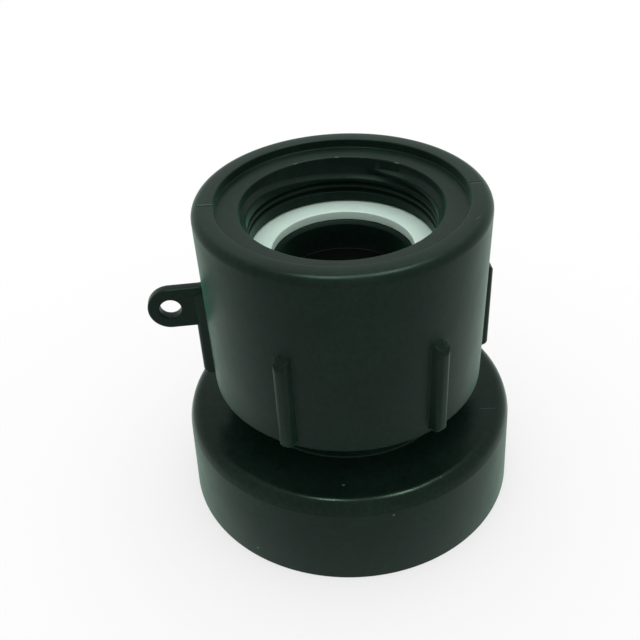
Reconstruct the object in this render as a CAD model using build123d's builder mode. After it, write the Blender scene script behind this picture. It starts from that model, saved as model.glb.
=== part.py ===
from build123d import *
from math import isclose, radians, tan
import os

# Heights of the three stacked rounds of the moulding, from the tank end at z = 0 to the tap end
skirt_height = 31.6
neck_height = 12.3
barrel_height = 61.3

# Tank end: the coarse 100 mm thread's bore in a skirt that widens to its foot, and a gasket pocket
tank_thread_major = 100.4
skirt_wall = 3.5
skirt_flare = 0.9
tank_pocket_undercut = 0.8
tank_pocket_depth = 4.5
crown_thickness = 4.5

# Sloping shoulder round the top of the skirt
shoulder_width = 2.7
shoulder_drop = 4.4

# Tap end, from the thread outwards: the 2 inch thread's bore with a gasket pocket under it, a conical
# lead-in, a recessed ledge, and the rim of a barrel that tapers to its foot
tap_thread_major = 59.6
tap_thread_length = 10.8
tap_pocket_undercut = 0.5
tap_pocket_depth = 3.5
lead_in_flare = 0.7
lead_in_depth = 3.7
ledge_width = 7.1
recess_depth = 2.8
rim_width = 6.6
barrel_taper = 0.8

# Waterway: the narrow bore under the tap gasket, then the wider chamber inside the neck
bore_diameter = 41.0
bore_length = 10.4
chamber_diameter = 56.0
neck_wall = 5.5

# Flat sealing rings, one lying on each seat
tap_gasket_setback = 1.3
tap_gasket_thickness = 3.0
tap_gasket_clearance = 0.3
tank_gasket_width = 11.5
tank_gasket_thickness = 4.0
tank_gasket_clearance = 0.5

# Grip ribs on the barrel, narrower towards their faces, with a steep slope at the top
rib_count = 6
rib_foot_gap = 0.8
rib_length = 33.1
rib_height = 3.6
rib_face_width = 4.0
rib_side_draft = 18
rib_foot_draft = 10
rib_top_slope = 33

# Eyelet for the lanyard, standing out from one of the ribs
eyelet_hole_diameter = 6.7
eyelet_thickness = 3.7
eyelet_reach = 7.3
eyelet_wall = 3.7
eyelet_level = 33.4
gusset_size = 1.5

# Rounded and broken edges; a rib has its face's sides, its nose at both ends and its corners rounded
rim_round = 2.0
shoulder_break = 1.2
rib_round = 1.5
rib_nose_round = 2.4
rib_corner_round = 2.2
edge_break = 0.4
barrel_foot_break = 0.6
bore_chamfer = 1.0

# How far added pieces are sunk into the barrel so that they fuse, and how closely edges are matched
root_depth = 1.5
match_tolerance = 0.01

tank_socket_radius = tank_thread_major / 2
tank_pocket_radius = tank_socket_radius + tank_pocket_undercut
skirt_radius = tank_socket_radius + skirt_wall
skirt_foot_radius = skirt_radius + skirt_flare
tap_socket_radius = tap_thread_major / 2
tap_pocket_radius = tap_socket_radius + tap_pocket_undercut
lead_in_radius = tap_socket_radius + lead_in_flare
recess_radius = lead_in_radius + ledge_width
rim_radius = recess_radius + rim_width
barrel_radius = rim_radius - barrel_taper
bore_radius = bore_diameter / 2
chamber_radius = chamber_diameter / 2
neck_radius = chamber_radius + neck_wall
tap_gasket_outer = tap_pocket_radius - tap_gasket_clearance
tap_gasket_inner = bore_radius + tap_gasket_setback
tank_gasket_outer = tank_pocket_radius - tank_gasket_clearance
tank_gasket_inner = tank_gasket_outer - tank_gasket_width

barrel_foot = skirt_height + neck_height
rim_top = barrel_foot + barrel_height
shoulder_foot = skirt_height - shoulder_drop
shoulder_radius = skirt_radius - shoulder_width
ledge_level = rim_top - recess_depth
thread_top = ledge_level - lead_in_depth
tap_pocket_top = thread_top - tap_thread_length
tap_seat = tap_pocket_top - tap_pocket_depth
bore_foot = tap_seat - bore_length
tank_seat = skirt_height - crown_thickness
tank_pocket_foot = tank_seat - tank_pocket_depth


def ring_edges(part, radius, level):
    """Round edges of one radius about the vertical axis at one level."""

    def matches(edge):
        same_radius = isclose(edge.radius, radius, abs_tol=match_tolerance)
        same_level = isclose(edge.arc_center.Z, level, abs_tol=match_tolerance)
        return same_radius and same_level

    return part.edges().filter_by(GeomType.CIRCLE).filter_by(matches)


# One grip rib, from inside the barrel's wall to its softened face
rib_foot = barrel_foot + rib_foot_gap
rib_top = rib_foot + rib_length
rib_root = barrel_radius - root_depth
rib_face = barrel_radius + rib_height
rib_face_half = rib_face_width / 2
rib_root_half = rib_face_half + (rib_height + root_depth) * tan(radians(rib_side_draft))
rib_face_foot = rib_foot + rib_height * tan(radians(rib_foot_draft))
rib_face_top = rib_top - rib_height * tan(radians(rib_top_slope))

with BuildPart() as grip_rib:
    with BuildSketch(Plane.XY.offset(rib_foot)) as rib_section:
        with BuildLine():
            Polyline(
                (rib_root, -rib_root_half),
                (rib_face, -rib_face_half),
                (rib_face, rib_face_half),
                (rib_root, rib_root_half),
                close=True,
            )
        make_face()
        fillet(rib_section.vertices().sort_by(Axis.X)[-2:], radius=rib_round)
    extrude(amount=rib_length)
    with BuildSketch(Plane.XZ) as rib_side:
        with BuildLine():
            Polyline(
                (rib_root, rib_foot),
                (barrel_radius, rib_foot),
                (rib_face, rib_face_foot),
                (rib_face, rib_face_top),
                (barrel_radius, rib_top),
                (rib_root, rib_top),
                close=True,
            )
        make_face()
        fillet(rib_side.vertices().group_by(Axis.X)[-1], radius=rib_nose_round)
    extrude(amount=rib_root_half, both=True, mode=Mode.INTERSECT)
    with BuildSketch(Plane.YZ.offset(rib_root)):
        with Locations((0, rib_foot + rib_length / 2)):
            RectangleRounded(2 * rib_root_half, rib_length, rib_corner_round)
    extrude(amount=rib_face - rib_root, mode=Mode.INTERSECT)

# The lanyard eyelet on the opposite side, a flat plate with a full-round end and a small gusset at its root
eyelet_middle = rim_top - eyelet_level
eyelet_end_radius = eyelet_hole_diameter / 2 + eyelet_wall
eyelet_centre = rib_face + eyelet_reach
eyelet_top = eyelet_middle + eyelet_end_radius
eyelet_foot = eyelet_middle - eyelet_end_radius

with BuildPart() as lanyard_eyelet:
    with BuildSketch(Plane.XZ):
        with BuildLine():
            outer_arc = ThreePointArc(
                (-eyelet_centre, eyelet_top),
                (-eyelet_centre - eyelet_end_radius, eyelet_middle),
                (-eyelet_centre, eyelet_foot),
            )
            Polyline(
                outer_arc @ 1,
                (-rib_root, eyelet_foot),
                (-rib_root, eyelet_top + gusset_size),
                (-barrel_radius, eyelet_top + gusset_size),
                (-barrel_radius - gusset_size, eyelet_top),
                outer_arc @ 0,
            )
        make_face()
        with Locations((-eyelet_centre, eyelet_middle)):
            Circle(eyelet_hole_diameter / 2, mode=Mode.SUBTRACT)
    extrude(amount=eyelet_thickness / 2, both=True)

with BuildPart() as adapter_body:
    # The outside, turned about the axis
    with BuildSketch(Plane.XZ):
        with BuildLine():
            Polyline(
                (0, 0),
                (skirt_foot_radius, 0),
                (skirt_radius, shoulder_foot),
                (shoulder_radius, skirt_height),
                (neck_radius, skirt_height),
                (neck_radius, barrel_foot),
                (barrel_radius, barrel_foot),
                (rim_radius, rim_top),
                (0, rim_top),
                close=True,
            )
        make_face()
    revolve(axis=Axis.Z)

    # The sockets and the waterway between them
    with BuildSketch(Plane.XZ):
        with BuildLine():
            Polyline(
                (0, 0),
                (tank_socket_radius, 0),
                (tank_socket_radius, tank_pocket_foot),
                (tank_pocket_radius, tank_pocket_foot),
                (tank_pocket_radius, tank_seat),
                (chamber_radius, tank_seat),
                (chamber_radius, bore_foot),
                (bore_radius, bore_foot),
                (bore_radius, tap_seat),
                (tap_pocket_radius, tap_seat),
                (tap_pocket_radius, tap_pocket_top),
                (tap_socket_radius, tap_pocket_top),
                (tap_socket_radius, thread_top),
                (lead_in_radius, ledge_level),
                (recess_radius, ledge_level),
                (recess_radius, rim_top),
                (0, rim_top),
                close=True,
            )
        make_face()
    revolve(axis=Axis.Z, mode=Mode.SUBTRACT)

    fillet(ring_edges(adapter_body, rim_radius, rim_top), radius=rim_round)
    chamfer(ring_edges(adapter_body, shoulder_radius, skirt_height), length=shoulder_break)
    chamfer(ring_edges(adapter_body, recess_radius, rim_top), length=edge_break)
    chamfer(ring_edges(adapter_body, lead_in_radius, ledge_level), length=edge_break)
    chamfer(ring_edges(adapter_body, barrel_radius, barrel_foot), length=barrel_foot_break)
    chamfer(ring_edges(adapter_body, skirt_foot_radius, 0), length=edge_break)
    chamfer(ring_edges(adapter_body, tank_socket_radius, 0), length=edge_break)
    chamfer(ring_edges(adapter_body, bore_radius, tap_seat), length=bore_chamfer)

    # Ribs at even spacing, one of them under the eyelet
    with PolarLocations(0, rib_count):
        add(grip_rib.part)
    add(lanyard_eyelet.part)

adapter_body.part.label = "adapter_body"

# The white ring that the tap's spout closes on
with BuildPart() as tap_gasket:
    with BuildSketch(Plane.XY.offset(tap_seat)):
        Circle(tap_gasket_outer)
        Circle(tap_gasket_inner, mode=Mode.SUBTRACT)
    extrude(amount=tap_gasket_thickness)
tap_gasket.part.label = "tap_gasket"

# The ring that the tank's outlet closes on, against the crown of the skirt
with BuildPart() as tank_gasket:
    with BuildSketch(Plane.XY.offset(tank_seat - tank_gasket_thickness)):
        Circle(tank_gasket_outer)
        Circle(tank_gasket_inner, mode=Mode.SUBTRACT)
    extrude(amount=tank_gasket_thickness)
tank_gasket.part.label = "tank_gasket"

os.makedirs("parts", exist_ok=True)
export_step(adapter_body.part, "parts/adapter_body.step")
export_step(tap_gasket.part, "parts/tap_gasket.step")
export_step(tank_gasket.part, "parts/tank_gasket.step")
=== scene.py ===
from math import asin, cos, hypot, pi, radians, sin, sqrt, tan

import bmesh
import bpy
from mathutils import Matrix, Vector


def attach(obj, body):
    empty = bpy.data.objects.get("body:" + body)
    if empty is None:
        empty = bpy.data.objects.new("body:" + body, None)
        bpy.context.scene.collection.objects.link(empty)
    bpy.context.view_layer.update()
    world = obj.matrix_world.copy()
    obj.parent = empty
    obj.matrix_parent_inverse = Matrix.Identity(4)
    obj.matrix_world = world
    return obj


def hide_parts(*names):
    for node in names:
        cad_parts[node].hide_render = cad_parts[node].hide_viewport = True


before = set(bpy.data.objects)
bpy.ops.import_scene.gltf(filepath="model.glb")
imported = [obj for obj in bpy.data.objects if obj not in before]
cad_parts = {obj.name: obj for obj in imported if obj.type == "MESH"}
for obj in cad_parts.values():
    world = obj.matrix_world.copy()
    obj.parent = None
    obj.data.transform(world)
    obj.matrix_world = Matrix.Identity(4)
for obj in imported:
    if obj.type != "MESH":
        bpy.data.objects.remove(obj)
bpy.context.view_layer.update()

# Lengths are in millimetres, and every vertex is turned into metres as it is made
MM = 0.001

# The camera, above and in front of the adapter, with the slight roll of a hand-held picture
CAMERA_PLACE = Vector((-24.39, -231.26, 232.2))
CAMERA_TURN = -4.0
CAMERA_DOWN = 36.46
CAMERA_ROLL = -3.25

camera_data = bpy.data.cameras.new("photo_camera")
camera_data.sensor_width = 36.0
camera_data.lens = 50.625
camera = bpy.data.objects.new("photo_camera", camera_data)
camera.matrix_world = (
    Matrix.Translation(CAMERA_PLACE * MM)
    @ Matrix.Rotation(radians(CAMERA_TURN), 4, "Z")
    @ Matrix.Rotation(radians(90.0 - CAMERA_DOWN), 4, "X")
    @ Matrix.Rotation(radians(CAMERA_ROLL), 4, "Z")
)
bpy.context.scene.collection.objects.link(camera)
bpy.context.scene.camera = camera

# Levels of the moulding, from the tank end at 0 to the rim of the tap end
SHOULDER_FOOT = 27.2
SKIRT_TOP = 31.6
BARREL_FOOT = 43.9
RIM_TOP = 105.2
LEDGE = 102.4
TAP_WALL_TOP = 98.7
TAP_WALL_FOOT = 87.9
TAP_SEAT = 84.4
BORE_FOOT = 74.0
TANK_SEAT = 27.1
TANK_WALL_TOP = 22.6

# Radii; the closed section starts and ends in the middle of the skirt's foot
FOOT_MIDDLE = 52.4
SKIRT_FOOT = 54.598
SKIRT = 53.7
SHOULDER = 52.3
NECK = 33.5
BARREL = 43.4
RIM = 44.2
RECESS = 37.6
LEAD_IN = 30.5
TAP_WALL = 29.8
TAP_POCKET = 30.3
BORE = 20.5
CHAMBER = 28.0
TANK_POCKET = 51.0
TANK_WALL = 50.2

# Rounds and a chamfer that catch the light, matched to the highlights; smaller ones stand in the section
SKIRT_ROUND = 2.6
SHOULDER_ROUND = 4.0
RIM_ROUND = 2.7
BORE_CHAMFER = 1.0

# Sealing rings, one on each seat
TAP_RING_INNER = 21.8
TAP_RING_OUTER = 30.0
TAP_RING_THICK = 3.0
TANK_RING_INNER = 39.0
TANK_RING_OUTER = 50.5
TANK_RING_THICK = 4.0

# Smooth shading breaks where faces meet at more than this many degrees, and points this near are welded
SHARP_EDGE = 38.0
WELD_GAP = 0.002

# Grip ribs: six round the barrel, from foot to top, with drafted sides and a sloping top
RIB_SPACING = 60.0
RIB_AZIMUTHS = [RIB_SPACING * i for i in range(6)]
RIB_FOOT = 44.7
RIB_TOP = 77.8
RIB_PROUD = 3.6
RIB_FACE = BARREL + RIB_PROUD
RIB_BASE_HALF = 2.65
RIB_SIDE_DRAFT = 12.0
RIB_FOOT_DRAFT = 10.0
RIB_TOP_SLOPE = 33.0
RIB_ROOT_ROUND = 0.3
RIB_EDGE_ROUND = 1.75
RIB_NOSE_ROUND = 2.4
RIB_CORNER = 2.0

# Outside a rib's outline its rounded corners still bend the rows, less and less between these distances
CORNER_FADE_START = 0.5
CORNER_FADE_END = 1.15

# Gaps between the columns from one rib to the next, and plain rows on the barrel over the ribs
BARREL_GAPS = 24
BARREL_ROWS = (82.0, 90.0)
UNDER_RIM = 98.0


def linear(colour):
    """A hex sRGB colour as the linear values that a shader takes."""
    channels = [int(colour[i : i + 2], 16) / 255 for i in (1, 3, 5)]
    return [c / 12.92 if c <= 0.04045 else ((c + 0.055) / 1.055) ** 2.4 for c in channels] + [1.0]


def noise_scale(size):
    """The noise scale whose pattern is a size across, in millimetres."""
    return 1 / (size * MM)


def add_node(tree, kind, settings, links):
    """Adds a node with its settings, and links sockets of earlier nodes to its inputs."""
    node = tree.nodes.new(kind)
    for name, value in settings.items():
        if isinstance(name, int) or name in node.inputs:
            node.inputs[name].default_value = value
        else:
            setattr(node, name, value)
    for name, socket in links.items():
        tree.links.new(socket, node.inputs[name])
    return node


def bare_material(name):
    """A new material with no nodes yet, and its node tree."""
    material = bpy.data.materials.new(name)
    material.use_nodes = True
    material.node_tree.nodes.clear()
    return material, material.node_tree


def seen_directly(tree):
    """A mask: 1 for what the camera sees, also by reflection or through glass, and 0 for other light."""
    path = add_node(tree, "ShaderNodeLightPath", {}, {}).outputs
    either = {"operation": "MAXIMUM"}
    seen = add_node(tree, "ShaderNodeMath", either, {0: path["Is Camera Ray"], 1: path["Is Glossy Ray"]})
    shown = add_node(tree, "ShaderNodeMath", either, {0: seen.outputs[0], 1: path["Is Transmission Ray"]})
    return shown.outputs[0]


def rounded_section(corners):
    """Section points through (radius, level, round) corners, each turned on an arc of its round."""
    points = [corners[0][:2]]
    for before, corner, after in zip(corners, corners[1:], corners[2:]):
        here = Vector(corner[:2])
        back = Vector(before[:2]) - here
        on = Vector(after[:2]) - here
        turn = pi - back.angle(on)
        if not corner[2] or turn < 0.02:
            points.append(tuple(here))
            continue
        reach = corner[2] * tan(turn / 2)
        centre = here + (back.normalized() + on.normalized()).normalized() * hypot(reach, corner[2])
        start = here + back.normalized() * reach - centre
        end = here + on.normalized() * reach - centre
        cuts_per_radian = 3 if corner[2] < 1 else 5
        steps = max(2, round(turn * cuts_per_radian))
        sweep = start.angle_signed(end)
        for step in range(steps + 1):
            points.append(tuple(centre + Matrix.Rotation(-sweep * step / steps, 2) @ start))
    points.append(corners[-1][:2])
    return points


def flank_reach(height, draft, edge_round):
    """How far inside its base line a drafted flank of a rib is when it has risen to a height."""
    slope = radians(draft)
    half_turn = (pi / 2 - slope) / 2
    root_reach = RIB_ROOT_ROUND * tan(half_turn)
    edge_reach = edge_round * tan(half_turn)
    if height < root_reach * cos(slope):
        return -root_reach + sqrt(max(0.0, RIB_ROOT_ROUND**2 - (RIB_ROOT_ROUND - height) ** 2))
    if height > RIB_PROUD - edge_reach * cos(slope):
        centre = RIB_PROUD * tan(slope) + edge_reach
        return centre - sqrt(max(0.0, edge_round**2 - (height - RIB_PROUD + edge_round) ** 2))
    return height * tan(slope)


# Heights at which every flank of a rib is cut, close together on the root and edge rounds
RIB_HEIGHTS = [
    0.0, 0.01, 0.05, 0.12, 0.22, 0.36, 0.9, 1.5, 2.0, 2.4, 2.72, 2.98, 3.2, 3.37, 3.49, 3.57, RIB_PROUD,
]
SIDE_REACH = [flank_reach(height, RIB_SIDE_DRAFT, RIB_EDGE_ROUND) for height in RIB_HEIGHTS]
FOOT_REACH = [flank_reach(height, RIB_FOOT_DRAFT, RIB_NOSE_ROUND) for height in RIB_HEIGHTS]
TOP_REACH = [flank_reach(height, RIB_TOP_SLOPE, RIB_NOSE_ROUND) for height in RIB_HEIGHTS]
RIB_LEVELS = len(RIB_HEIGHTS) - 1


def barrel_at(level):
    """Radius of the barrel, which widens a little from its foot to the rim."""
    return BARREL + (RIM - BARREL) * (level - BARREL_FOOT) / (RIM_TOP - BARREL_FOOT)


def moulding_columns():
    """Columns round the moulding as (azimuth, nearest rib, level on its flank), closest on the flanks."""
    columns = []
    for rib in RIB_AZIMUTHS:
        flank = []
        for level, height in enumerate(RIB_HEIGHTS):
            across = RIB_BASE_HALF - SIDE_REACH[level]
            flank.append((asin(across / (BARREL + height)), level))
        half_face = flank[-1][0] / 2
        columns += [(radians(rib) - angle, rib, level) for angle, level in flank]
        columns += [(radians(rib) + angle, rib, RIB_LEVELS) for angle in (-half_face, 0.0, half_face)]
        columns += [(radians(rib) + angle, rib, level) for angle, level in reversed(flank)]
        start = radians(rib) + flank[0][0]
        stop = radians(rib + RIB_SPACING) - flank[0][0]
        for i in range(1, BARREL_GAPS):
            nearest = rib if i < BARREL_GAPS / 2 else rib + RIB_SPACING
            columns.append((start + (stop - start) * i / BARREL_GAPS, nearest, 0))
    first = columns[0]
    columns.append((first[0] + 2 * pi, first[1] + 360.0, first[2]))
    return columns


def round_rib_corner(across, level):
    """Moves a point near a corner of a rib's outline so that the flanks meet on a round there."""
    middle = (RIB_FOOT + RIB_TOP) / 2
    half = (RIB_TOP - RIB_FOOT) / 2
    inside = RIB_CORNER - (RIB_BASE_HALF - abs(across))
    beyond = RIB_CORNER - (half - abs(level - middle))
    if inside <= 0 or beyond <= 0:
        return across, level
    reach = max(inside, beyond)
    fade = (RIB_CORNER + CORNER_FADE_END - reach) / (CORNER_FADE_END - CORNER_FADE_START)
    keep = 1 - (1 - reach / hypot(inside, beyond)) * min(1.0, max(0.0, fade))
    side = 1 if across > 0 else -1
    end = 1 if level > middle else -1
    across = side * (RIB_BASE_HALF - RIB_CORNER + inside * keep)
    level = middle + end * (half - RIB_CORNER + beyond * keep)
    return across, level


def along_table(table, place):
    """The value of a table of (place, value) pairs, on straight lines between them."""
    for (near, low), (far, high) in zip(table, table[1:]):
        if place <= far:
            return low + (high - low) * (place - near) / (far - near)
    return table[-1][1]


# The 2 inch parallel tap thread. It starts at an azimuth in degrees and rises in a small part of a turn.
# Its first turn has a broad upper flank, and in its third it widens into a plain band over the gasket
TAP_PITCH = 2.309
TAP_CREST = 1.45
TAP_FLANK = 0.76
TAP_START = 63.0
TAP_RISE = 0.03
TAP_TURNS = 8
TAP_HIGH = 101.8
CREST_WIDTH = 0.56
CREST_LEVEL = 97.71
RUN_OUT_START = 2.3
RUN_OUT_END = 2.7

# A flank's section as (share of the way down it, share of the crest's height)
FLANK_SECTION = [(0.0, 1.0), (0.12, 0.95), (0.25, 0.82), (0.82, 0.1), (1.0, 0.0)]

# The start of the thread as (turns, level), before its crest and flank follow the pitch
CREST_FOOT = [(0.0, 98.6), (0.05, 98.1), (0.12, 97.45), (0.2, 96.69)]
CREST_TOP = [
    (0.0, 98.95), (0.05, 98.8), (0.09, 98.45), (0.74, 98.45), (0.78, 98.1), (0.83, 97.1), (0.875, 96.3),
    (0.93, 95.65), (1.1, 95.65), (1.35, 94.6),
]
FLANK_TOP = [
    (0.0, 99.1), (0.033, 99.4), (0.064, 99.8), (0.1, 100.3), (0.16, 100.7), (0.7, 100.7), (0.77, 100.0),
    (0.83, 98.6), (0.87, 97.9), (0.93, 97.15), (0.98, 96.85), (1.03, 96.7), (1.1, 96.45), (1.35, 95.36),
]


def crest_top(turns):
    """Level of the upper edge of the tap thread's crest, some turns after its start."""
    if turns < CREST_TOP[-1][0]:
        return along_table(CREST_TOP, turns)
    return CREST_LEVEL - TAP_PITCH * turns


def crest_foot(turns):
    """Level of the lower edge of the tap thread's crest, some turns after its start."""
    if turns < CREST_FOOT[-1][0]:
        return along_table(CREST_FOOT, turns)
    return CREST_LEVEL - CREST_WIDTH - TAP_PITCH * turns


def flank_top(turns):
    """Level at which the upper flank of the tap thread meets the wall, some turns after its start."""
    if turns < FLANK_TOP[-1][0]:
        return along_table(FLANK_TOP, turns)
    return crest_top(turns) + TAP_FLANK


def tap_wall(level):
    """Radius of the tap socket's wall, which flares towards the mouth."""
    return TAP_WALL + (LEAD_IN - TAP_WALL) * max(0.0, (level - TAP_WALL_TOP) / (LEDGE - TAP_WALL_TOP))


def tap_ridge(azimuth, level):
    """Height of the tap thread's ridge above the socket's wall."""
    height = 0.0
    first = (TAP_START / 360 - azimuth / (2 * pi)) % 1.0
    for turn in range(TAP_TURNS):
        turns = first + turn
        above = (level - crest_top(turns)) / (flank_top(turns) - crest_top(turns))
        below = (crest_foot(turns) - level) / TAP_FLANK
        rise = min(1.0, turns / TAP_RISE)
        run_out = min(1.0, (turns - RUN_OUT_START) / (RUN_OUT_END - RUN_OUT_START))
        height = max(height, TAP_CREST * rise * along_table(FLANK_SECTION, max(above, below, 0.0)))
        if above < 0:
            height = max(height, TAP_CREST * run_out)
    return height


def tap_row(azimuth, turn, upper, off):
    """Level of a row along a flank of the tap thread, kept between the mouth and the gasket pocket."""
    turns = TAP_START / 360 - azimuth / (2 * pi) + turn
    started = max(turns, 0.0)
    if upper:
        level = crest_top(started) + off * (flank_top(started) - crest_top(started))
    else:
        level = crest_foot(started) - off * TAP_FLANK
    if turns < 0:
        level += (TAP_HIGH - level) * min(1.0, -turns / TAP_RISE)
    return min(TAP_HIGH, max(TAP_WALL_FOOT, level))


# Ridge of the coarse tank thread, half its section: (distance from the crest line, height)
TANK_PITCH = 8.0
TANK_PROFILE = [
    (0.0, 3.0), (0.75, 3.0), (0.95, 2.85), (1.06, 2.65), (2.1, 0.35), (2.4, 0.06), (2.75, 0.0), (4.0, 0.0),
]

# It starts so far over the foot, climbs so far, and tapers away over a length at both ends; under it the
# socket's wall runs down to the mouth's edge
TANK_RIDGE_FOOT = 5.6
TANK_RIDGE_RISE = 14.8
TANK_FADE = 6.0
TANK_MOUTH = 0.5


def tank_ridge(azimuth, level):
    """Height of the tank thread's ridge above the socket's wall."""
    along = level - TANK_RIDGE_FOOT - TANK_PITCH * azimuth / (2 * pi)
    turn = round(along / TANK_PITCH)
    wound = TANK_PITCH * (turn + azimuth / (2 * pi))
    end = min(wound, TANK_RIDGE_RISE - wound) * 2 * pi * TANK_WALL / TANK_PITCH
    fade = min(1.0, max(0.0, end / TANK_FADE))
    return along_table(TANK_PROFILE, abs(along - TANK_PITCH * turn)) * fade * fade * (3 - 2 * fade)


def moulding_rows():
    """Rows of the moulding's closed section, up the outside and down the inside.

    A row is ("ring", radius, level), ("rib", level, which of the rib's heights), ("tap", turn, whether on
    the upper flank, share of the way off the crest) or ("tank", level at azimuth 0).
    """
    lower = rounded_section([
        (FOOT_MIDDLE, 0.0, 0), (SKIRT_FOOT, 0.0, 0.5), (SKIRT, SHOULDER_FOOT, SKIRT_ROUND),
        (SHOULDER, SKIRT_TOP, SHOULDER_ROUND), (NECK, SKIRT_TOP, 0.8), (NECK, BARREL_FOOT, 0.6),
        (BARREL, BARREL_FOOT, 0.5), (BARREL, RIB_FOOT, 0),
    ])[:-1]
    rows = [("ring", r, z) for r, z in lower]
    rows += [("rib", RIB_FOOT + reach, level) for level, reach in enumerate(FOOT_REACH)]
    face_foot = RIB_FOOT + FOOT_REACH[-1]
    face_top = RIB_TOP - TOP_REACH[-1]
    rows += [("rib", face_foot + (face_top - face_foot) * i / 8, RIB_LEVELS) for i in range(1, 8)]
    rows += [("rib", RIB_TOP - TOP_REACH[level], level) for level in range(RIB_LEVELS, -1, -1)]
    rows += [("ring", barrel_at(z), z) for z in BARREL_ROWS]
    upper = rounded_section([
        (barrel_at(UNDER_RIM), UNDER_RIM, 0), (RIM, RIM_TOP, RIM_ROUND), (RECESS, RIM_TOP, 0.4),
        (RECESS, LEDGE, 0.35), (LEAD_IN, LEDGE, 0.4), (tap_wall(TAP_HIGH), TAP_HIGH, 0),
    ])
    rows += [("ring", r, z) for r, z in upper]
    for turn in range(TAP_TURNS + 1):
        rows += [("tap", turn, True, off) for off, height in reversed(FLANK_SECTION)]
        rows += [("tap", turn, False, off) for off, height in FLANK_SECTION]
    middle = rounded_section([
        (TAP_WALL, TAP_WALL_FOOT, 0), (TAP_POCKET, TAP_WALL_FOOT, 0), (TAP_POCKET, TAP_SEAT, 0.2),
        (BORE + BORE_CHAMFER, TAP_SEAT, 0.15), (BORE, TAP_SEAT - BORE_CHAMFER, 0.2), (BORE, BORE_FOOT, 0.5),
        (CHAMBER, BORE_FOOT, 1.2), (CHAMBER, TANK_SEAT, 0.5), (TANK_POCKET, TANK_SEAT, 0.3),
        (TANK_POCKET, TANK_WALL_TOP, 0), (TANK_WALL, TANK_WALL_TOP, 0),
    ])
    rows += [("ring", r, z) for r, z in middle]
    sides = sorted({side * off for off, height in TANK_PROFILE for side in (-1, 1)}, reverse=True)[:-1]
    for turn in range(3, -3, -1):
        rows += [("tank", TANK_RIDGE_FOOT + TANK_PITCH * turn + off) for off in sides]
    mouth = rounded_section([(TANK_WALL, TANK_MOUTH, 0), (TANK_WALL, 0.0, 0.4), (FOOT_MIDDLE, 0.0, 0)])
    rows += [("ring", r, z) for r, z in mouth]
    return rows


def moulding_point(row, column):
    """A point of the moulding, in metres, where a row meets a column."""
    azimuth, rib, rib_level = column
    if row[0] == "ring":
        radius, level = row[1:]
    elif row[0] == "rib":
        level = row[1]
        height = RIB_HEIGHTS[min(row[2], rib_level)]
        across, level = round_rib_corner((BARREL + height) * sin(azimuth - radians(rib)), level)
        azimuth = radians(rib) + asin(across / (BARREL + height))
        radius = barrel_at(level) + (RIB_FACE - barrel_at(level)) * height / RIB_PROUD
    elif row[0] == "tap":
        level = tap_row(azimuth, *row[1:])
        radius = tap_wall(level) - tap_ridge(azimuth, level)
    else:
        level = min(TANK_WALL_TOP, max(TANK_MOUTH, row[1] + TANK_PITCH * azimuth / (2 * pi)))
        radius = TANK_WALL - tank_ridge(azimuth, level)
    return Vector((radius * cos(azimuth), radius * sin(azimuth), level)) * MM


def finished_piece(name, made):
    """A piece of the scene from the faces that were made, shaded smooth with its sharp edges kept."""
    bmesh.ops.recalc_face_normals(made, faces=made.faces)
    mesh = bpy.data.meshes.new(name)
    made.to_mesh(mesh)
    made.free()
    mesh.shade_smooth()
    mesh.set_sharp_from_angle(angle=radians(SHARP_EDGE))
    piece = bpy.data.objects.new(name, mesh)
    bpy.context.scene.collection.objects.link(piece)
    return piece


def turned_piece(name, rows, columns, point):
    """A closed piece from rows of a section carried round the axis, with its seam welded."""
    made = bmesh.new()
    grid = [[made.verts.new(point(row, column)) for column in columns] for row in rows]
    for lower, upper in zip(grid, grid[1:]):
        for i in range(len(columns) - 1):
            made.faces.new((lower[i], lower[i + 1], upper[i + 1], upper[i]))
    bmesh.ops.remove_doubles(made, verts=made.verts, dist=WELD_GAP * MM)
    bmesh.ops.dissolve_degenerate(made, dist=WELD_GAP / 2 * MM, edges=made.edges)
    return finished_piece(name, made)


def ring_point(row, column):
    """A point of a plain ring, in metres."""
    return Vector((row[0] * cos(column), row[0] * sin(column), row[1])) * MM


def sealing_ring(name, inner, outer, foot, top, edge):
    """A flat ring with rounded edges."""
    middle = (inner + outer) / 2
    section = rounded_section([
        (middle, foot, 0), (outer, foot, edge), (outer, top, edge), (inner, top, edge), (inner, foot, edge),
        (middle, foot, 0),
    ])
    columns = [radians(2 * i) for i in range(181)]
    return turned_piece(name, section, columns, ring_point)


# Eyelet for the lanyard: hole, full-round end, a small gusset where it leaves the barrel, and rounded edges
# with a narrow flat band beside them, so that the faces stay flat in the shading
EYE_OUT = 54.3
EYE_LEVEL = 71.8
EYE_HOLE = 3.35
EYE_END = 7.05
EYE_HALF_THICK = 1.85
EYE_EDGE = 0.75
EYE_HOLE_EDGE = 0.4
EYE_FLAT = 0.25
EYE_ROOT = 42.0
EYE_GUSSET = 1.5


def eyelet_outline():
    """The eyelet's outer edge seen from the side, as (distance from the axis, level)."""
    foot = EYE_LEVEL - EYE_END
    top = EYE_LEVEL + EYE_END
    shoulder = BARREL + EYE_GUSSET
    half_turn = [pi * i / 32 for i in range(33)]
    quarter_turn = [pi * i / 10 for i in range(6)]
    points = [(EYE_ROOT + (EYE_OUT - EYE_ROOT) * i / 8, foot) for i in range(8)]
    points += [(EYE_OUT + EYE_END * sin(a), EYE_LEVEL - EYE_END * cos(a)) for a in half_turn]
    points += [(EYE_OUT - (EYE_OUT - shoulder) * i / 6, top) for i in range(1, 6)]
    points += [(shoulder - EYE_GUSSET * sin(a), top + EYE_GUSSET * (1 - cos(a))) for a in quarter_turn]
    points += [(EYE_ROOT, top + EYE_GUSSET - (2 * EYE_END + EYE_GUSSET) * i / 8) for i in range(8)]
    return points


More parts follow.
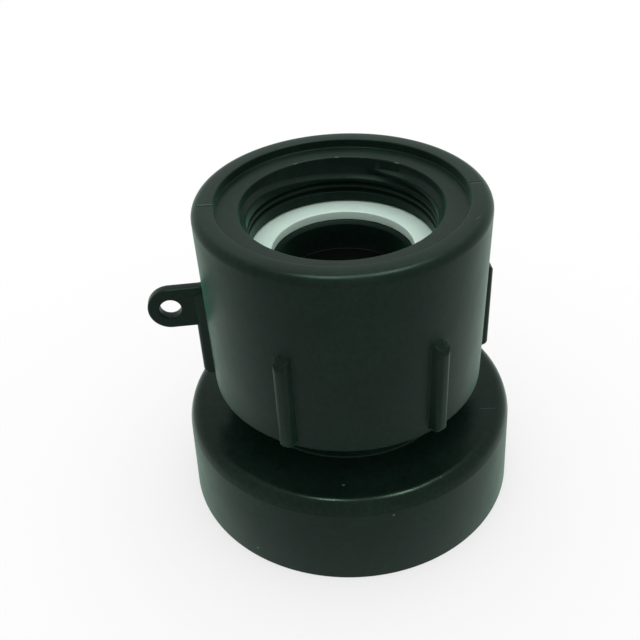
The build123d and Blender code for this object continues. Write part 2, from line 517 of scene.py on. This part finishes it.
def inset(points, distance):
    """A closed outline moved inwards by a distance."""
    moved = []
    for i, here in enumerate(points):
        back = Vector(here) - Vector(points[i - 1])
        on = Vector(points[(i + 1) % len(points)]) - Vector(here)
        normal = (Vector((-back.y, back.x)).normalized() + Vector((-on.y, on.x)).normalized()).normalized()
        stretch = 1 / max(0.5, normal.dot(Vector((-on.y, on.x)).normalized()))
        moved.append(tuple(Vector(here) + normal * distance * stretch))
    return moved


def edge_layers(edge):
    """How far across the plate, and how far back from its edge, each layer of a rounded edge is."""
    quarter_turn = [pi * i / 8 for i in range(5)]
    near = [(-EYE_HALF_THICK, edge + EYE_FLAT)]
    near += [(edge * (1 - cos(a)) - EYE_HALF_THICK, edge * (1 - sin(a))) for a in quarter_turn]
    return near + [(-across, back) for across, back in reversed(near)]


def eyelet_hole(radius):
    """A circle round the eyelet's hole seen from the side, as (distance from the axis, level)."""
    full_turn = [pi * i / 24 for i in range(48)]
    return [(EYE_OUT + radius * cos(a), EYE_LEVEL + radius * sin(a)) for a in full_turn]


def eyelet_loop(made, outline, across):
    """New points of the eyelet along an outline, so far across its plate."""
    return [made.verts.new(Vector((-out, across, level)) * MM) for out, level in outline]


def lanyard_eyelet():
    """The eyelet's plate, with rounded edges inside and outside its hole."""
    made = bmesh.new()
    outer = []
    for across, back in edge_layers(EYE_EDGE):
        outer.append(eyelet_loop(made, inset(eyelet_outline(), back), across))
    hole = []
    for across, back in edge_layers(EYE_HOLE_EDGE):
        hole.append(eyelet_loop(made, eyelet_hole(EYE_HOLE + back), across))
    for loops in (outer, hole):
        count = len(loops[0])
        for near, far in zip(loops, loops[1:]):
            for i in range(count):
                made.faces.new((near[i], near[(i + 1) % count], far[(i + 1) % count], far[i]))
    for end in (0, -1):
        edges = []
        for loop in (outer[end], hole[end]):
            edges += [made.edges.get((loop[i - 1], vertex)) for i, vertex in enumerate(loop)]
        bmesh.ops.triangle_fill(made, use_beauty=True, edges=edges)
    return finished_piece("lanyard_eyelet", made)


def on_moulding(azimuth, radius, level):
    """A place on the moulding, in millimetres."""
    return Vector((radius * cos(radians(azimuth)), radius * sin(radians(azimuth)), level))


# Pale marks as (from, to, width): painted highlight on the rim's mould lines, nicks in the mouth's edge, a
# drag mark, specks
WEAR_AND_HIGHLIGHT_MARKS = [
    (on_moulding(177.6, 37.6, RIM_TOP), on_moulding(177.6, 41.8, RIM_TOP), 0.34),
    (on_moulding(0.3, 38.6, RIM_TOP), on_moulding(0.3, 41.6, RIM_TOP), 0.3),
    (on_moulding(85.2, 30.6, LEDGE), on_moulding(86.6, 30.6, LEDGE), 0.5),
    (on_moulding(47.2, 30.7, LEDGE), on_moulding(49.4, 30.5, LEDGE), 0.5),
    (on_moulding(110.5, 30.6, LEDGE), on_moulding(112.5, 30.6, LEDGE), 0.4),
    (on_moulding(337.0, 44.8, SKIRT_TOP), on_moulding(339.0, 50.6, SKIRT_TOP), 0.14),
    (on_moulding(330.0, 40.4, RIM_TOP), on_moulding(332.0, 41.2, RIM_TOP), 0.16),
    (on_moulding(229.8, 54.45, 4.3), on_moulding(230.2, 54.45, 4.4), 0.7),
    (on_moulding(277.0, 53.75, 26.0), on_moulding(277.3, 53.75, 26.1), 0.6),
    (on_moulding(260.7, 45.0, SKIRT_TOP), on_moulding(261.2, 45.0, SKIRT_TOP), 0.6),
    (on_moulding(296.0, 50.6, SKIRT_TOP), on_moulding(296.4, 50.6, SKIRT_TOP), 0.6),
]

# Painted shade beside the mould lines, on the shaded side of their fine steps, in the same form
PAINTED_SHADE_MARKS = [
    (on_moulding(178.5, 37.6, RIM_TOP), on_moulding(178.5, 42.6, RIM_TOP), 0.36),
    (on_moulding(1.0, 38.2, RIM_TOP), on_moulding(1.0, 42.6, RIM_TOP), 0.4),
]


def mark(tree, place, start, end, width):
    """A mask that is 1 along the middle of a mark and fades to 0 just outside its width."""
    along = (end - start) * MM
    from_start = {"operation": "SUBTRACT", 1: start * MM}
    offset = add_node(tree, "ShaderNodeVectorMath", from_start, {0: place}).outputs["Vector"]
    share = {"operation": "DOT_PRODUCT", 1: along / along.length_squared}
    ahead = add_node(tree, "ShaderNodeVectorMath", share, {0: offset}).outputs["Value"]
    within = add_node(tree, "ShaderNodeClamp", {}, {"Value": ahead}).outputs["Result"]
    nearest = add_node(tree, "ShaderNodeVectorMath", {"operation": "SCALE", 0: along}, {"Scale": within})
    off = add_node(
        tree, "ShaderNodeVectorMath", {"operation": "DISTANCE"}, {0: offset, 1: nearest.outputs["Vector"]},
    )
    fade = {"From Min": width * 0.2 * MM, "From Max": width * 0.6 * MM, "To Min": 1.0, "To Max": 0.0}
    return add_node(tree, "ShaderNodeMapRange", fade, {"Value": off.outputs["Value"]}).outputs["Result"]


def marks(tree, place, listed):
    """One mask over all the listed marks."""
    masks = [mark(tree, place, *each) for each in listed]
    either = {"operation": "MAXIMUM"}
    joined = masks[0]
    for other in masks[1:]:
        joined = add_node(tree, "ShaderNodeMath", either, {0: joined, 1: other}).outputs[0]
    return joined


def moulded_polypropylene():
    """Black polypropylene, injection moulded: a satin, near-black skin, bright at glancing angles."""
    material, tree = bare_material("polypropylene_black_moulded")
    place = add_node(tree, "ShaderNodeTexCoord", {}, {}).outputs["Object"]
    level = add_node(tree, "ShaderNodeSeparateXYZ", {}, {"Vector": place}).outputs["Z"]

    # Handling, patches about 25 mm across that are a little duller
    handling = add_node(
        tree,
        "ShaderNodeTexNoise",
        {"Scale": noise_scale(25.0), "Detail": 4.0, "Roughness": 0.65},
        {"Vector": place},
    )
    dull = add_node(
        tree,
        "ShaderNodeMapRange",
        {"From Min": 0.35, "From Max": 0.7, "To Min": 0.35, "To Max": 0.45},
        {"Value": handling.outputs["Fac"]},
    )

    # The skirt's top and shoulder come off a polished face of the mould, the wall below off a duller one
    over_wall = add_node(
        tree,
        "ShaderNodeMapRange",
        {"From Min": (SHOULDER_FOOT - 0.2) * MM, "From Max": (SHOULDER_FOOT + 0.2) * MM, "To Max": 0.17},
        {"Value": level},
    )
    under_barrel = add_node(
        tree,
        "ShaderNodeMapRange",
        {
            "From Min": (BARREL_FOOT - 7.9) * MM, "From Max": (BARREL_FOOT - 0.9) * MM,
            "To Min": 1.0, "To Max": 0.0,
        },
        {"Value": level},
    )
    polish = add_node(
        tree,
        "ShaderNodeMath",
        {"operation": "MULTIPLY"},
        {0: over_wall.outputs["Result"], 1: under_barrel.outputs["Result"]},
    )

    # The rim is a little smoother than the barrel under it
    smooth_rim = add_node(
        tree,
        "ShaderNodeMapRange",
        {"From Min": (RIM_TOP - 5.2) * MM, "From Max": (RIM_TOP - RIM_ROUND) * MM, "To Max": 0.05},
        {"Value": level},
    )
    smoother = add_node(
        tree,
        "ShaderNodeMath",
        {"operation": "ADD"},
        {0: polish.outputs[0], 1: smooth_rim.outputs["Result"]},
    )
    satin = add_node(
        tree,
        "ShaderNodeMath",
        {"operation": "SUBTRACT"},
        {0: dull.outputs["Result"], 1: smoother.outputs[0]},
    )

    # Mottling of the skin, about 1.5 mm across, paler where the grain is rubbed
    mottle = add_node(
        tree,
        "ShaderNodeTexNoise",
        {"Scale": noise_scale(1.54), "Detail": 3.0, "Roughness": 0.7},
        {"Vector": place},
    )
    blotch = add_node(
        tree,
        "ShaderNodeMath",
        {"operation": "MULTIPLY"},
        {0: mottle.outputs["Fac"], 1: handling.outputs["Fac"]},
    )
    spread = add_node(
        tree, "ShaderNodeMapRange", {"From Min": 0.1, "From Max": 0.42}, {"Value": blotch.outputs[0]},
    )
    tint = add_node(
        tree,
        "ShaderNodeMix",
        {"data_type": "RGBA", 6: linear("#07110d"), 7: linear("#13201b")},
        {0: spread.outputs["Result"]},
    )

    # Wear, and painted highlight and painted shade on the mould lines; no shine on the painted shade of
    # steps too fine to model
    wear_and_highlight = marks(tree, place, WEAR_AND_HIGHLIGHT_MARKS)
    painted_shade = marks(tree, place, PAINTED_SHADE_MARKS)
    rubbed_and_lit = add_node(
        tree, "ShaderNodeMix", {"data_type": "RGBA", 7: linear("#4d5f58")}, {0: wear_and_highlight, 6: tint.outputs[2]},
    )
    lined = add_node(
        tree, "ShaderNodeMix", {"data_type": "RGBA", 7: linear("#030504")}, {0: painted_shade, 6: rubbed_and_lit.outputs[2]},
    )
    shine = add_node(tree, "ShaderNodeMapRange", {"To Min": 0.12, "To Max": 0.0}, {"Value": painted_shade})

    # Sink and flow of the moulding, about 12 mm across, that wavers the reflections
    sink = add_node(
        tree, "ShaderNodeTexNoise", {"Scale": noise_scale(11.76), "Detail": 2.0}, {"Vector": place},
    )
    waver = add_node(
        tree, "ShaderNodeBump", {"Strength": 0.35, "Distance": 0.3 * MM}, {"Height": sink.outputs["Fac"]},
    )

    # Skin of the mould, a fine grain about 0.5 mm across that breaks up the shine
    grain = add_node(
        tree,
        "ShaderNodeTexNoise",
        {"Scale": noise_scale(0.5), "Detail": 3.0, "Roughness": 0.6},
        {"Vector": place},
    )
    skin = add_node(
        tree,
        "ShaderNodeBump",
        {"Strength": 0.4, "Distance": 0.03 * MM},
        {"Height": grain.outputs["Fac"], "Normal": waver.outputs["Normal"]},
    )

    surface = add_node(
        tree,
        "ShaderNodeBsdfPrincipled",
        {
            "IOR": 1.49, "Specular Tint": linear("#d8ffea"),
            "Sheen Weight": 0.18, "Sheen Roughness": 0.35, "Sheen Tint": linear("#8cffd0"),
        },
        {
            "Base Color": lined.outputs[2], "Roughness": satin.outputs[0],
            "Specular IOR Level": shine.outputs["Result"], "Normal": skin.outputs["Normal"],
        },
    )
    add_node(tree, "ShaderNodeOutputMaterial", {}, {"Surface": surface.outputs["BSDF"]})
    return material


def stamped_polyethylene():
    """White polyethylene sheet, stamped into a ring: soft and waxy, with a faint green cast."""
    material, tree = bare_material("polyethylene_white_stamped")
    place = add_node(tree, "ShaderNodeTexCoord", {}, {}).outputs["Object"]

    # Faint mottling of the sheet, about 6 mm across
    mottle = add_node(
        tree, "ShaderNodeTexNoise", {"Scale": noise_scale(6.25), "Detail": 3.0}, {"Vector": place},
    )
    tint = add_node(
        tree,
        "ShaderNodeMix",
        {"data_type": "RGBA", 6: linear("#dcf6e8"), 7: linear("#e4fdf0")},
        {0: mottle.outputs["Fac"]},
    )

    # Rolled skin of the sheet, about 0.7 mm across
    rolled = add_node(
        tree, "ShaderNodeTexNoise", {"Scale": noise_scale(0.714), "Detail": 2.0}, {"Vector": place},
    )
    skin = add_node(
        tree, "ShaderNodeBump", {"Strength": 0.2, "Distance": 0.03 * MM}, {"Height": rolled.outputs["Fac"]},
    )

    surface = add_node(
        tree,
        "ShaderNodeBsdfPrincipled",
        {"IOR": 1.51, "Roughness": 0.42, "Subsurface Weight": 0.15, "Subsurface Scale": 1.0 * MM},
        {"Base Color": tint.outputs[2], "Normal": skin.outputs["Normal"]},
    )
    add_node(tree, "ShaderNodeOutputMaterial", {}, {"Surface": surface.outputs["BSDF"]})
    return material


def moulded_rubber():
    """Black nitrile rubber, compression moulded: matt and slightly grey with bloom."""
    material, tree = bare_material("nitrile_rubber_black_moulded")
    place = add_node(tree, "ShaderNodeTexCoord", {}, {}).outputs["Object"]

    # Bloom, in clouds about 4.5 mm across
    bloom = add_node(
        tree,
        "ShaderNodeTexNoise",
        {"Scale": noise_scale(4.545), "Detail": 5.0, "Roughness": 0.7},
        {"Vector": place},
    )
    tint = add_node(
        tree,
        "ShaderNodeMix",
        {"data_type": "RGBA", 6: linear("#141515"), 7: linear("#212322")},
        {0: bloom.outputs["Fac"]},
    )

    # Matt skin of the mould, about 0.4 mm across
    grain = add_node(
        tree, "ShaderNodeTexNoise", {"Scale": noise_scale(0.4), "Detail": 2.0}, {"Vector": place},
    )
    skin = add_node(
        tree, "ShaderNodeBump", {"Strength": 0.4, "Distance": 0.03 * MM}, {"Height": grain.outputs["Fac"]},
    )

    surface = add_node(
        tree,
        "ShaderNodeBsdfPrincipled",
        {"IOR": 1.52, "Roughness": 0.68},
        {"Base Color": tint.outputs[2], "Normal": skin.outputs["Normal"]},
    )
    add_node(tree, "ShaderNodeOutputMaterial", {}, {"Surface": surface.outputs["BSDF"]})
    return material


polypropylene = moulded_polypropylene()

moulding = turned_piece("adapter_moulding", moulding_rows(), moulding_columns(), moulding_point)
moulding.data.materials.append(polypropylene)
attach(moulding, "root")
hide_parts("adapter_body")

eyelet = lanyard_eyelet()
eyelet.data.materials.append(polypropylene)
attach(eyelet, "root")

tap_ring = sealing_ring(
    "tap_sealing_ring", TAP_RING_INNER, TAP_RING_OUTER, TAP_SEAT, TAP_SEAT + TAP_RING_THICK, 0.35,
)
tap_ring.data.materials.append(stamped_polyethylene())
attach(tap_ring, "root")
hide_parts("tap_gasket")

tank_ring = sealing_ring(
    "tank_sealing_ring", TANK_RING_INNER, TANK_RING_OUTER, TANK_SEAT - TANK_RING_THICK, TANK_SEAT, 0.4,
)
tank_ring.data.materials.append(moulded_rubber())
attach(tank_ring, "root")
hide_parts("tank_gasket")


def floor_paper():
    """White seamless paper, matt and even: it takes the shadow, and looks a little whiter than it is."""
    material, tree = bare_material("paper_white_seamless")
    surface = add_node(tree, "ShaderNodeBsdfDiffuse", {"Color": linear("#fdfdfd")}, {})
    white = add_node(tree, "ShaderNodeEmission", {"Color": linear("#ffffff"), "Strength": 1.0}, {})
    share = add_node(tree, "ShaderNodeMath", {"operation": "MULTIPLY", 1: 0.6}, {0: seen_directly(tree)})
    mixed = add_node(
        tree,
        "ShaderNodeMixShader",
        {},
        {0: share.outputs[0], 1: surface.outputs["BSDF"], 2: white.outputs["Emission"]},
    )
    add_node(tree, "ShaderNodeOutputMaterial", {}, {"Surface": mixed.outputs[0]})
    return material


FLOOR_HALF = 1500.0
floor_corners = [Vector((x, y, 0)) * FLOOR_HALF * MM for x, y in ((-1, -1), (1, -1), (1, 1), (-1, 1))]
floor_mesh = bpy.data.meshes.new("floor")
floor_mesh.from_pydata(floor_corners, [], [(0, 1, 2, 3)])
floor = bpy.data.objects.new("floor", floor_mesh)
floor_mesh.materials.append(floor_paper())
bpy.context.scene.collection.objects.link(floor)

# The studio: an even white surround, seen white by the camera and by reflections
studio = bpy.data.worlds.new("studio")
studio.use_nodes = True
bpy.context.scene.world = studio
tree = studio.node_tree
tree.nodes.clear()
light = add_node(tree, "ShaderNodeBackground", {"Color": linear("#ffffff"), "Strength": 0.88}, {})
white = add_node(tree, "ShaderNodeBackground", {"Color": linear("#ffffff"), "Strength": 1.0}, {})
surround = add_node(
    tree, "ShaderNodeMixShader", {}, {0: seen_directly(tree), 1: light.outputs[0], 2: white.outputs[0]},
)
add_node(tree, "ShaderNodeOutputWorld", {}, {"Surface": surround.outputs[0]})

# A large softbox overhead, seen in no reflection, that lights the inside of the mouth
overhead_data = bpy.data.lights.new("overhead_softbox", "AREA")
overhead_data.size = 1000.0 * MM
overhead_data.energy = 3.2
overhead = bpy.data.objects.new("overhead_softbox", overhead_data)
overhead.location = Vector((150.0, 250.0, 1300.0)) * MM
overhead.visible_glossy = False
bpy.context.scene.collection.objects.link(overhead)

# Two strip lamps overhead, facing straight down, whose only work is the pair of highlights on each round
STRIPS = [("left_strip", (-100.0, 120.0, 1250.0), -17.0), ("right_strip", (310.0, 120.0, 1220.0), 0.0)]
for name, stand, turn in STRIPS:
    strip_data = bpy.data.lights.new(name, "AREA")
    strip_data.shape = "RECTANGLE"
    strip_data.size = 70.0 * MM
    strip_data.size_y = 440.0 * MM
    strip_data.energy = 9.0
    strip_data.color = linear("#eafff0")[:3]
    strip = bpy.data.objects.new(name, strip_data)
    strip.location = Vector(stand) * MM
    strip.rotation_euler.z = radians(turn)
    strip.visible_diffuse = False
    bpy.context.scene.collection.objects.link(strip)

bpy.context.scene.view_settings.view_transform = "Standard"
